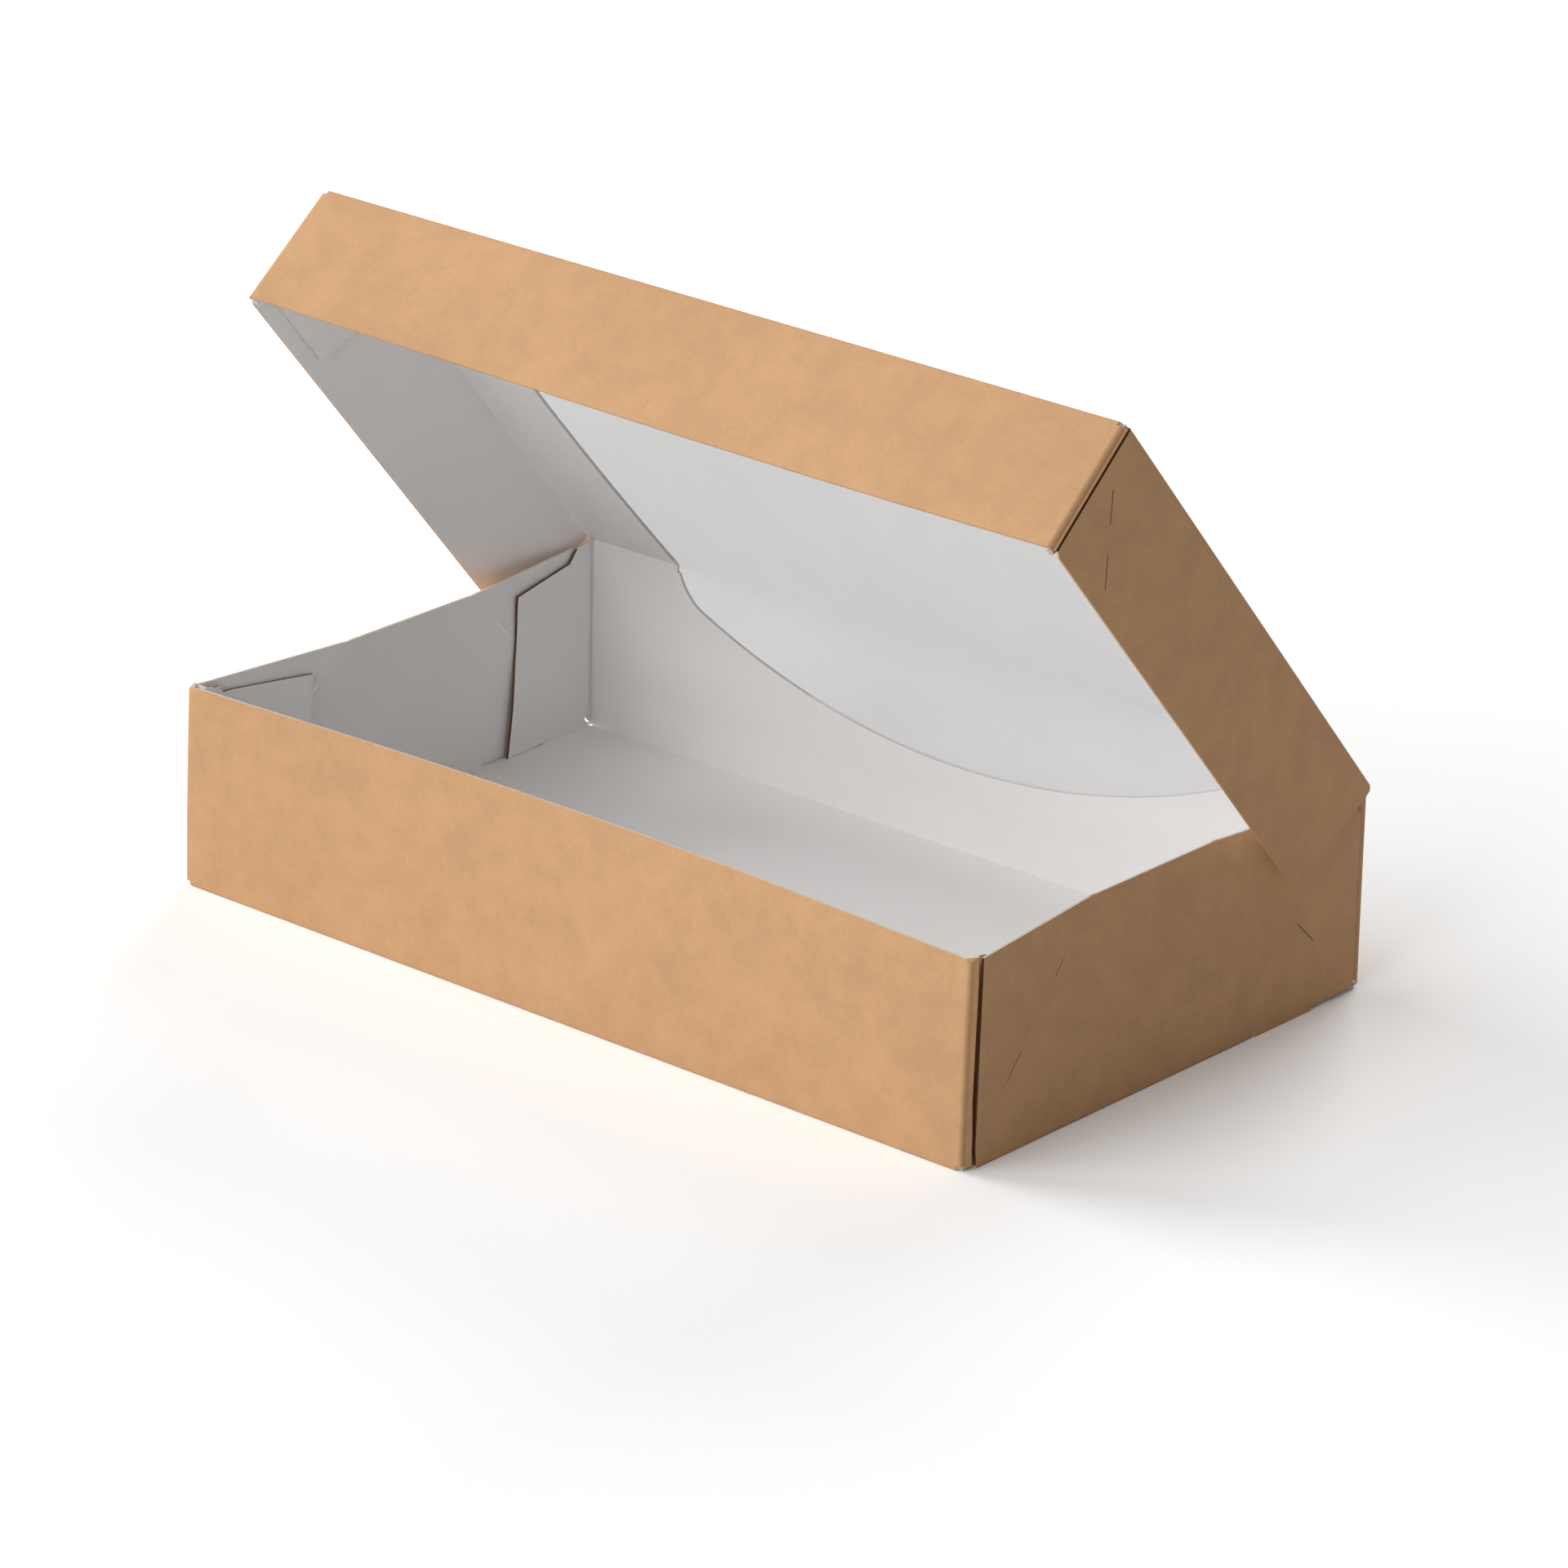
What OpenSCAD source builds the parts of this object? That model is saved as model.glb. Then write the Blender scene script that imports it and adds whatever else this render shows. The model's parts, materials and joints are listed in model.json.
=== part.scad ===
// Takeaway box folded from one sheet of kraft board, with a hinged lid and a film window.
// The origin is the centre of the underside. Front is -Y, and Z points up.

/* [Tray] */
// Width of the tray across its side walls
tray_w = 200; // [170:1:280]
// Depth of the tray from front wall to back wall
tray_d = 118; // [108:1:180]
// Height of the hinge crease above the underside
hinge_h = 41.5; // [38:0.5:50]
// How far the front wall's rim lies below the hinge crease
front_drop = 0.1; // [0.1:0.1:3]
// How far the side walls' rims lie below the hinge crease
side_drop = 0.6; // [0.6:0.1:3]
// How far each side wall leans in at its rim, between the creases
side_lean = 5; // [1:0.5:8]
// How far the front wall bows in at the middle of its rim
front_bow = 5; // [0:0.5:8]
// Distance from the front face back to the foot of a side wall's cut front edge
front_setback = 3.4; // [2.5:0.1:6]
// How much further back that edge is at the rim
front_rake = 1.2; // [0:0.1:3]
// Distance from the rear face forward to a side wall's cut rear edge
rear_setback = 2; // [1.5:0.1:5]
// Size of the slanted cut at a side wall's rear top corner
rear_bevel = 4.5; // [2:0.5:8]
// Length at the rear over which a side wall is cut free of the bottom
free_len = 33; // [18:1:40]
// Length at the rear over which that free edge is cut higher
lift_len = 15.5; // [8:0.5:17]
// Height of that higher cut above the underside
lift_h = 1; // [0.5:0.1:3]

/* [Board] */
// Thickness of the board
board_t = 0.5; // [0.3:0.05:0.6]
// Inside radius of every fold
fold_r = 0.5; // [0.3:0.1:1]

/* [Collapse creases] */
// Length of each cut along a 45 degree crease
cut_len = 6.5; // [3:0.5:8]
// Width of each cut
cut_w = 0.2; // [0.2:0.05:0.6]
// Distance along a tray crease from the corner to its first cut
tray_cut_start = 19; // [8:0.5:24]
// Distance from the start of one cut in the tray to the start of the next
tray_cut_pitch = 22; // [10:0.5:28]
// How far up a side lip's front edge its crease starts
lid_crease_rise = 3.8; // [1:0.1:6]
// Distance along a lid crease from that edge to its first cut
lid_cut_start = 8.7; // [4:0.1:12]
// Distance from the start of one cut in the lid to the start of the next
lid_cut_pitch = 12; // [9:0.5:16]

/* [Glue tabs] */
// Length of the front wall's glue tabs
front_tab = 29.8; // [16:0.1:34]
// Length of the back wall's glue tabs
rear_tab = 25.8; // [20:0.1:32]
// How far a tray tab's upper edge lies below the rim
tab_drop = 2.6; // [1:0.1:4]
// How much further a tray tab's upper edge falls by its free end
tab_fall = 1.8; // [0:0.1:6]
// Gap between the bottom and a tab's lower edge
tab_lift = 0.3; // [0.2:0.05:1]
// Step up in a rear tab's lower edge, near the corner
tab_step = 0.6; // [0.2:0.1:2]
// Length of the lower stretch of that edge, at the tab's free end
tab_foot = 9.4; // [5:0.1:12]
// Distance from the corner fold to the shoulder of a rear tab
shoulder = 5.2; // [3:0.1:10]
// Length of the front lip's glue tabs at their foot
lid_tab = 33.5; // [20:0.5:40]
// How much shorter those tabs are at their free edge
lid_tab_slant = 8.4; // [2:0.1:14]
// How far those tabs stop short of the lip's free edge
lid_tab_drop = 3.5; // [1:0.1:8]

/* [Lid] */
// Angle at which the lid stands open
lid_angle = 49.7; // [5:0.1:120]
// Space between the front wall and the front lip of the closed lid
front_slack = 2.2; // [2:0.1:4]
// Space between the tray and the side lips of the closed lid
side_gap = 0.4; // [0.3:0.05:1.5]
// Height of the lips
lip_h = 26.7; // [18:0.1:32]
// How far the front lip bows in at the middle of its free edge
lip_bow = 2; // [0:0.1:2]
// Distance from the front lip's face back to a side lip's cut front edge
lip_setback = 1.3; // [1.3:0.1:5]
// Bevel at the free front corner of a side lip
lip_bevel = 0.5; // [0.5:0.1:4]
// Distance from the hinge crease to a side lip's rear end, at its fold
lip_rear = 0.6; // [0.5:0.1:5]
// How much further from the crease that end lies at the lip's free edge
lip_rear_slant = 4; // [0:0.5:10]
// Gap between the hinge crease and the lid panel's rear edge
hinge_gap = 0.4; // [0.4:0.05:0.8]

/* [Window] */
// Board left at either side of the window where it is widest
window_side = 22; // [15:0.5:35]
// Board left in front of the window
window_front = 20; // [12:0.5:40]
// Radius of the window's bulging sides
window_side_r = 530; // [300:10:900]
// Radius of the arch in the back wall
window_arch_r = 165; // [160:1:400]
// Height of the lowest point of the arch above the underside
window_sill = 18; // [15:0.5:24]
// Radius of the window's corners
window_corner_r = 12; // [6:0.5:20]
// Thickness of the film
film_t = 0.15; // [0.05:0.01:0.2]
// Distance from the film's side edges to the corner folds
film_side = 1; // [0.5:0.1:8]
// Glued margin of film past the window's front end and below its sill
film_margin = 8; // [4:0.5:10]

/* [Hidden] */
$fn = 64;

kraft = [0.81, 0.63, 0.46];
film_clear = [0.86, 0.88, 0.89, 0.45];

fold_or = fold_r + board_t;
side_x = tray_w / 2;
rear_y = tray_d / 2;
front_h = hinge_h - front_drop;
rim_h = hinge_h - side_drop;
lean_a = atan(side_lean / rim_h);
// Room that cutting blocks have beyond the walls
reach = 30;

// How far glued faces are pressed into each other
press = 0.02;

// Folds meet flat board at places rounded to a hundredth of a millimetre
function hundredth(v) = round(100 * v) / 100;

// Fold lines: where each curved stretch of board has its centre
bottom_fold_y = rear_y - fold_or;
bottom_fold_x = hundredth(side_x - fold_or * (1 + sin(lean_a)) / cos(lean_a));
corner_x = hundredth(bottom_fold_x - board_t / cos(lean_a) + press);

// A side wall is cut free of the bottom panel behind here, and the panel then reaches almost to the wall
free_y = rear_y - free_len;
free_x = side_x - board_t * (tan(lean_a) + 1 / cos(lean_a)) - cut_w;

// The hinge axis runs along the middle of the board
hinge_y = rear_y - board_t / 2;

// Lid sizes, with its panel lying flat, its outer face down and its hinge at Y = 0
lid_half = side_x + side_gap + board_t;
lid_len = hinge_y + rear_y + front_slack + board_t;
lid_fold_x = lid_half - fold_or;
lid_fold_y = lid_len - fold_or;
lid_corner_x = lid_fold_x - board_t + press;

// Window and film
window_half = lid_half - window_side;
window_end = lid_len - window_front;
window_mid = lid_len / 2;
side_sag = window_side_r - sqrt(pow(window_side_r, 2) - pow(window_mid, 2));
arch_half = window_half - side_sag;
film_half = corner_x - film_side;
film_gap = 0.3;
// Straight pieces that make up each arc of an outline
arc_steps = 16;
// Powers by which a bowed wall straightens towards its ends and its fold
bow_ends = 1.3;
bow_fold = 1.5;
// Board that stays whole where a collapse crease meets an edge
crease_end = 2;

// Points on an arc
function arc(centre, r, from, to) =
    [for (i = [0:arc_steps]) let(a = from + (to - from) * i / arc_steps) centre + r * [cos(a), sin(a)]];

// A half outline on the +X side, closed by its own mirror image
function both_sides(half) =
    concat(half, [for (i = [len(half) - 1:-1:0]) [-half[i].x, half[i].y]]);

// A solid skin over a row of sections, each one the outer points upwards and the inner ones back down
module loft(sections) {
    rows = len(sections);
    n = len(sections[0]);
    points = [for (s = sections, p = s) p];
    sides = [for (i = [0:rows - 2], j = [0:n - 1])
        [i * n + j, (i + 1) * n + j, (i + 1) * n + (j + 1) % n, i * n + (j + 1) % n]];
    first = [for (j = [0:n / 2 - 2]) [j, j + 1, n - 2 - j, n - 1 - j]];
    last = [for (f = first) [for (k = [3:-1:0]) (rows - 1) * n + f[k]]];
    polyhedron(points, concat(sides, first, last), convexity = 6);
}

// A fold about the Z axis that starts on the X axis and turns by the angle
module fold(angle, length)
    rotate_extrude(angle = angle) translate([fold_r, 0]) square([board_t, length]);

// A fold along X that turns a flat panel's +Y edge up into a wall
module rear_fold(y, half)
    translate([-half, y, fold_or]) rotate([0, 90, 0]) fold(90, 2 * half);

// A fold along Y that turns a flat panel's +X edge up, from y0 to y1
module side_fold(x, y0, y1, angle)
    translate([x, y1, fold_or]) rotate([0, 90, -90]) fold(angle, y1 - y0);

// A wall outline given in Y and Z, extruded along X
module upright(outline, thickness)
    rotate([90, 0, 90]) linear_extrude(thickness) polygon(outline);

// A corner fold at the +X end of a +Y wall, with the glue tab that follows it.
// The tab's outline runs along X from the fold, and the turn is the angle past square.
module corner_and_tab(x, y, top, turn, outline) {
    translate([x, y, 0]) {
        translate([0, 0, fold_or]) rotate([0, 0, -turn]) fold(90 + turn, top - fold_or);
        rotate([0, 0, -turn]) translate([fold_r, 0, 0]) mirror([0, 1, 0]) upright(outline, board_t);
    }
}

// A wall at +Y that is straight along its fold and bows in towards its free edge
module bowed_wall(half, y, top, bow) {
    columns = 28;
    levels = 6;
    function inward(x, z) =
        bow * pow(1 - pow(x / half, 2), bow_ends) * pow((z - fold_or) / (top - fold_or), bow_fold);
    function level(j) = fold_or + (top - fold_or) * j / levels;
    loft([for (i = [0:columns]) let(x = half * (2 * i / columns - 1)) concat(
        [for (j = [0:levels]) [x, y - inward(x, level(j)), level(j)]],
        [for (j = [levels:-1:0]) [x, y - board_t - inward(x, level(j)), level(j)]])]);
}

// Through cuts along a crease that climbs at 45 degrees from an edge at y and z towards the middle
module crease_cuts(x, y, z, top, start, pitch)
    for (s = [start : pitch : (top - z) * sqrt(2) - cut_len - crease_end])
        translate([x - reach, y, z]) rotate([135, 0, 0])
            translate([0, s, -cut_w / 2]) cube([2 * reach, cut_len, cut_w]);

// Both creases of a side wall
module tray_crease_cuts()
    for (end = [0, 1]) mirror([0, end, 0])
        crease_cuts(side_x, rear_y, 0, rim_h, tray_cut_start, tray_cut_pitch);

// Everything inboard of a right side wall's surface, at an inset from its outer face.
// The middle leans in from the bottom fold, and the ends lean in from the corners.
module inboard(inset) {
    size = [reach, 3 * tray_d, 3 * tray_d];
    rotate([0, -lean_a, 0]) translate([side_x * cos(lean_a) - inset, 0, 0] - [reach, tray_d, tray_d])
        cube(size);
    for (side = [-1, 1])
        rotate([0, 0, side * lean_a])
            translate([side_x * cos(lean_a) - rear_y * sin(lean_a) - inset, 0, 0]
                - [reach, 1.5 * tray_d, tray_d])
                cube(size);
}

// The right side wall, cut free of the bottom at the rear
module side_wall() {
    y0 = front_setback - rear_y;
    y1 = rear_y - rear_setback;
    outline = [
        [y0, 0], [rear_y - lift_len, 0], [rear_y - lift_len, lift_h], [y1, lift_h],
        [y1, rim_h - rear_bevel], [y1 - rear_bevel, rim_h], [y0 + front_rake, rim_h]];
    difference() {
        intersection() {
            difference() {
                inboard(0);
                inboard(board_t);
            }
            translate([side_x - reach / 2, 0, 0]) upright(outline, reach);
        }
        translate([bottom_fold_x, 0, fold_or]) rotate([0, -lean_a, 0])
            translate([-reach, -tray_d, -reach]) cube([2 * reach, tray_d + free_y + cut_w, reach]);
        tray_crease_cuts();
    }
    side_fold(bottom_fold_x, y0, free_y, 90 + lean_a);
}

// The front wall, seen as a wall at +Y, with its right tab
module front_wall() {
    high = rim_h - tab_drop;
    low = board_t + tab_lift;
    rear_fold(bottom_fold_y, corner_x);
    bowed_wall(corner_x, rear_y, front_h, front_bow);
    for (side = [0, 1]) mirror([side, 0, 0])
        corner_and_tab(corner_x, bottom_fold_y, front_h, lean_a,
            [[0, low], [front_tab, low], [front_tab, high - tab_fall], [0, high]]);
}

// The back wall up to the rounded hinge crease, with its tabs
module back_wall() {
    low = board_t + tab_lift;
    high = rim_h - tab_drop;
    rear_fold(bottom_fold_y, corner_x);
    translate([-corner_x, rear_y - board_t, fold_or])
        cube([2 * corner_x, board_t, hinge_h - fold_or]);
    translate([-corner_x, hinge_y, hinge_h]) rotate([0, 90, 0]) cylinder(d = board_t, h = 2 * corner_x);
    for (side = [0, 1]) mirror([side, 0, 0])
        corner_and_tab(corner_x, bottom_fold_y, rim_h, lean_a, [
            [0, low + tab_step], [rear_tab - tab_foot, low + tab_step],
            [rear_tab - tab_foot, low], [rear_tab, low], [rear_tab, high - tab_fall],
            [shoulder + tab_drop, high], [shoulder, rim_h], [0, rim_h]]);
}

// Window outline on the back wall, in X and Z
function arch_outline() =
    let(rise = sqrt(pow(window_arch_r - window_corner_r, 2) - pow(arch_half - window_corner_r, 2)),
        centre_z = window_sill + window_arch_r,
        swing = asin((arch_half - window_corner_r) / (window_arch_r - window_corner_r)))
    both_sides(concat(
        arc([0, centre_z], window_arch_r, swing / (2 * arc_steps + 1) - 90, swing - 90),
        arc([arch_half - window_corner_r, centre_z - rise], window_corner_r, swing - 90, 0),
        [[arch_half, 2 * hinge_h]]));

// Window outline on the lid panel, in X and distance from the hinge
function lid_window_outline() =
    let(side_c = [window_half - window_side_r, window_mid],
        corner_y = window_end - window_corner_r,
        corner_xx = side_c.x + sqrt(pow(window_side_r - window_corner_r, 2) - pow(corner_y - window_mid, 2)),
        meet = asin((corner_y - window_mid) / (window_side_r - window_corner_r)),
        start = asin(-window_mid / window_side_r))
    both_sides(concat(
        [[arch_half, -window_corner_r]],
        arc(side_c, window_side_r, start, meet),
        arc([corner_xx, corner_y], window_corner_r, meet, 90)));

// Puts what is drawn flat, outer face down, at the hinge with the lid open
module at_hinge()
    translate([0, hinge_y, hinge_h]) rotate([180 - lid_angle, 0, 0]) translate([0, 0, -board_t / 2])
        children();

// A right side lip with its fold
module side_lip() {
    front = lid_len - lip_setback;
    outline = [
        [lip_rear, fold_or], [front, fold_or], [front, lip_h - lip_bevel],
        [front - 2 * lip_bevel, lip_h], [lip_rear + lip_rear_slant, lip_h]];
    side_fold(lid_fold_x, lip_rear, front, 90);
    difference() {
        translate([lid_half - board_t, 0, 0]) upright(outline, board_t);
        crease_cuts(lid_half, lid_len, lid_crease_rise, lip_h, lid_cut_start, lid_cut_pitch);
    }
}

// The bottom panel, wider where the side walls are cut free of it
module bottom_panel()
    linear_extrude(board_t) polygon(both_sides([
        [bottom_fold_x, -bottom_fold_y], [bottom_fold_x, free_y + cut_w],
        [free_x, free_y + cut_w], [free_x, bottom_fold_y]]));

// Board of the tray: bottom, walls and glue tabs
module tray() color(kraft) {
    difference() {
        union() {
            bottom_panel();
            back_wall();
            mirror([0, 1, 0]) front_wall();
            for (side = [0, 1]) mirror([side, 0, 0]) side_wall();
        }
        translate([0, rear_y + reach, 0]) rotate([90, 0, 0]) linear_extrude(2 * reach)
            polygon(arch_outline());
    }
}

// Film glued inside the back wall, up to the hinge crease
module back_window_film() color(film_clear) {
    low = window_sill - film_margin;
    high = hinge_h - board_t / 2 - film_t - film_gap;
    translate([-film_half, rear_y - board_t - film_t, low]) cube([2 * film_half, film_t, high - low]);
}

// Board of the lid: panel with the window, front lip, side lips and glue tabs
module lid() color(kraft) at_hinge() {
    tab_edge = lip_h - lid_tab_drop;
    low = board_t + tab_lift;
    difference() {
        translate([-lid_fold_x, hinge_gap, 0]) cube([2 * lid_fold_x, lid_fold_y - hinge_gap, board_t]);
        translate([0, 0, -board_t]) linear_extrude(3 * board_t) polygon(lid_window_outline());
    }
    rear_fold(lid_fold_y, lid_corner_x);
    bowed_wall(lid_corner_x, lid_len, lip_h, lip_bow);
    for (side = [0, 1]) mirror([side, 0, 0]) {
        side_lip();
        corner_and_tab(lid_corner_x, lid_fold_y, lip_h, 0,
            [[0, low], [lid_tab, low], [lid_tab - lid_tab_slant, tab_edge], [0, tab_edge]]);
    }
}

// Film glued inside the lid, from the hinge crease to past the window
module lid_window_film() color(film_clear) at_hinge()
    translate([-film_half, 2 * hinge_gap, board_t])
        cube([2 * film_half, window_end + film_margin - 2 * hinge_gap, film_t]);

tray();
back_window_film();
lid();
lid_window_film();
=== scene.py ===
"""Looks of a takeaway box: one creased sheet of kraft board and one sheet of clear film.

Both sheets are drawn flat, as they are cut, and then folded up. Lengths are millimetres until a
mesh is made. A flat place is (s, t): s runs across the box, and t from the middle of the bottom
panel up the back wall and on over the lid.
"""

import json
import math

import bpy
import numpy as np
from mathutils import Matrix, Vector
from mathutils.geometry import delaunay_2d_cdt


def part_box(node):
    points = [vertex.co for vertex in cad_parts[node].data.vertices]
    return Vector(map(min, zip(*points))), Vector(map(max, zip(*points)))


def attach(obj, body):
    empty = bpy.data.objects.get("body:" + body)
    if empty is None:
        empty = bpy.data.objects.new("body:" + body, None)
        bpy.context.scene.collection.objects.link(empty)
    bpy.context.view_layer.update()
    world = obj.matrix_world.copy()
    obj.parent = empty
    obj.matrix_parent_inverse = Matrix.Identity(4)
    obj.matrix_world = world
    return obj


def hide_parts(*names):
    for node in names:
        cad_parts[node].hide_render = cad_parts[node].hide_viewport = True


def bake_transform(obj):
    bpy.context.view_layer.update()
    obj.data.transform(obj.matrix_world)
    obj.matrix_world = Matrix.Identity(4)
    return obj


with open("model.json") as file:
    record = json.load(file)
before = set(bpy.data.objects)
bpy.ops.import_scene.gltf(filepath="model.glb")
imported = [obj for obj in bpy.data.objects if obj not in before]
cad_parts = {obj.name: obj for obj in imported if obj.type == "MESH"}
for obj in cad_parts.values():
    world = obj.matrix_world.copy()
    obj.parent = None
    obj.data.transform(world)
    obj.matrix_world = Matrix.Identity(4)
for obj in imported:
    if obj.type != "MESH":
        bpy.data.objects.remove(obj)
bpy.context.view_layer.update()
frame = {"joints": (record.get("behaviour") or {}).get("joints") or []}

MM = 0.001
SQUARE = math.pi / 2

# The board's materials, in the order that its meshes hold them
KRAFT, LINER, CUT_EDGE, SHADED_WINDOW_EDGE, SHADED_EDGE = range(5)

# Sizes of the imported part
tray_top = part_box("tray")[1]
hinge = frame["joints"][0]
side_x = tray_top.x / MM
rear_y = tray_top.y / MM
hinge_y = hinge["pos_m"][1] / MM
hinge_h = hinge["pos_m"][2] / MM
lid_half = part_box("lid")[1].x / MM

# Board
board_t = 0.5
fold_r = 0.5
fold_or = fold_r + board_t
# A fold turns tightly in the middle of its stretch
tight_r = board_t + 0.05
# Longest edge of a flat sheet's mesh
mesh_step = 3

# Cuts along the 45 degree creases
cut_w = 0.2
cut_len = 6.5
crease_end = 2
crease_turn = 0.9
tray_crease_low = 4
tray_cut_start = 19
tray_cut_pitch = 22
lid_crease_rise = 3.8
lid_cut_start = 8.7
lid_cut_pitch = 12

# Tray
front_h = hinge_h - 0.1
rim_h = hinge_h - 0.6
rim_in = 5
lean = math.atan(rim_in / rim_h)
front_bow = 5
corner_lean = 1.2
front_setback = 3.4
front_rake = 1.2
rear_setback = 2
rear_bevel = 4.5
free_y = rear_y - 33
lift_y = rear_y - 15.5
lift_h = 1
bottom_fold_y = rear_y - fold_or
bottom_fold_x = side_x - fold_or * (1 + math.sin(lean)) / math.cos(lean)
corner_x = bottom_fold_x - board_t / math.cos(lean)
free_x = side_x - board_t * (math.tan(lean) + 1 / math.cos(lean)) - cut_w
corner_soft = 0.25

# A slit at the foot of each rear corner lets light through: places past the corner fold and heights
rear_slit = [(-0.3, 0.9), (2.2, 3.1)]
rear_slit_w = 0.7

# Glue tabs
front_tab = 29.8
rear_tab = 25.8
tab_foot = 9.4
tab_low = board_t + 0.12
tab_high = rim_h - 2.6
tab_fall = 1.8
tab_step = 0.15
shoulder = 5.2
lid_tab = 33.5
lid_tab_slant = 8.4
lid_tab_drop = 3.5

# Tops of the tabs, as distances past the corner fold and heights
rear_tab_top = hinge_h + 0.25
rear_tab_steps = [(shoulder, rim_h), (3, hinge_h - 0.3), (1.2, rear_tab_top)]
front_tab_top = rim_h - 0.6
front_tab_steps = [(1, front_h), (2.2, front_tab_top), (5.5, rim_h - 0.9), (7, tab_high)]

# A tab swells over its fold, dives behind the wall's cut edge and comes back to the wall
corner_slant = 0.5
slant_reach = 3
dip_recovery = 9
rear_dip = {"swell": 0.2, "dive_at": 0.3, "dive_w": 0.5, "depth": 0.3}
lid_dip = {"swell": 0.42, "dive_at": 0.3, "dive_w": 0.3, "depth": 1.0, "slant": corner_slant}
front_swell = 0.25
front_dive_at = 1.3
front_dive_shift = 0.36
front_dive_w = 0.3
front_depth = 1.8
front_depth_low = 2.5
front_depth_fade = 1.5
tab_settle = 6
tab_soft = 2.5

# Places past a tab's fold where its mesh has a line, and how far they go
dip_places = [0.25 * i for i in range(1, 17)] + [5, 6.5, 8, 10]
dip_reach = 11
dip_top_reach = 2.2

# How far the free ends of the tabs stand off the side walls
end_stand = 0.3
front_foot_stand = 0.6
rear_foot_stand = 0.8
rear_foot_high = 26
rear_foot_fade = 16
rear_top_stand = 0.3
rear_top_fade = 6
lid_end_stand = 0.35

# Lid
lid_angle = math.radians(49.7)
lid_len = 120.45
lip_h = 26.7
lip_bow = 2
lip_setback = 1.8
lip_bevel = 0.5
lip_rear = 0.6
lip_rear_slant = 4
lip_heel = -0.15
lip_heel_h = 3
lid_tab_top = lip_h - 0.3
lid_tab_steps = [(3, lip_h - lid_tab_drop), (2, lid_tab_top), (0, lip_h)]
lip_deeper = 0.043
deeper_start = -60
deeper_over = 160
lip_splay = 0.8
narrow_right = (0.3, 1.0)
narrow_left = (0.1, 0.9)
lid_fold_x = lid_half - fold_or
lid_fold_y = lid_len - fold_or
lid_corner_x = lid_fold_x - board_t

# The board beside the window turns over the hinge in a soft fold
hinge_turn = SQUARE - lid_angle
hinge_r = 1.2
hinge_strip = 1.5
hinge_strip_over = 0.3
hinge_notch = 0.3

# Window and film
window_half = lid_half - 22
window_end = lid_len - 20
window_mid = lid_len / 2
window_side_r = 530
window_arch_r = 165
window_sill = 18
window_corner_r = 12
# Window edges to the left of this are painted in shade
window_shade_end = -40
past_edge = 5
arch_half = window_half - (window_side_r - math.sqrt(window_side_r**2 - window_mid**2))
film_t = 0.15
film_inset = board_t + 0.04
film_half = corner_x - 1
film_low = window_sill - 8
film_end = window_end + 8
film_bend = 9
film_bend_least = 0.3

# Powers by which a bowed wall straightens towards its ends and its fold
bow_ends = 1.3
bow_fold = 1.5

# Flat places closer than this count as on the same line
same_line = 0.01


# Flat sheets


def resampled(points, step, closed=True):
    """The same outline with no piece longer than the step."""
    ends = points[1:] + points[:1] if closed else points[1:]
    out = []
    for a, b in zip(points, ends):
        count = max(1, math.ceil(math.dist(a, b) / step))
        ds, dt = b[0] - a[0], b[1] - a[1]
        out += [(a[0] + ds * i / count, a[1] + dt * i / count) for i in range(count)]
    return out if closed else out + [points[-1]]


def mirrored(loops):
    """Each outline and its mirror image across s = 0."""
    return loops + [[(-s, t) for s, t in loop] for loop in loops]


def moved(points, t_shift):
    """The same outline further along the sheet."""
    return [(s, t + t_shift) for s, t in points]


def arc(centre, r, start, end, steps=24):
    """Points on an arc, in radians."""
    angles = [start + (end - start) * i / steps for i in range(steps + 1)]
    return [(centre[0] + r * math.cos(a), centre[1] + r * math.sin(a)) for a in angles]


def both_sides(half):
    """A half outline on the right and its mirror image, joined into one loop."""
    return half + [(-s, t) for s, t in reversed(half)]


def band(half, low, high):
    """A rectangle's flat outline, half its width on either side of the middle."""
    return [(-half, low), (half, low), (half, high), (-half, high)]


def slit(a, b, width):
    """A narrow four-sided cut from a to b."""
    way = (Vector(b) - Vector(a)).normalized() * width / 2
    off = Vector((-way.y, way.x))
    return [tuple(Vector(p) + k * off) for p, k in ((a, -1), (b, -1), (b, 1), (a, 1))]


def spread_points(low, high, spacing, lines):
    """Grid points inside a rectangle that keep clear of all lines."""
    s = np.arange(low[0], high[0], spacing)
    t = np.arange(low[1], high[1], spacing)
    grid = np.stack(np.meshgrid(s, t), -1).reshape(-1, 2)
    keep = np.ones(len(grid), bool)
    clear = 0.4 * spacing
    for a, b in lines:
        a, b = np.array(a), np.array(b)
        way = b - a
        along = np.clip((grid - a) @ way / max(way @ way, 1e-9), 0, 1)
        keep &= np.hypot(*(grid - a - along[:, None] * way).T) > clear
    return grid[keep]


def anticlockwise(loop):
    """The loop, turned round if it runs clockwise."""
    area = sum(a[0] * b[1] - b[0] * a[1] for a, b in zip(loop, loop[1:] + loop[:1]))
    return loop if area > 0 else loop[::-1]


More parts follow.
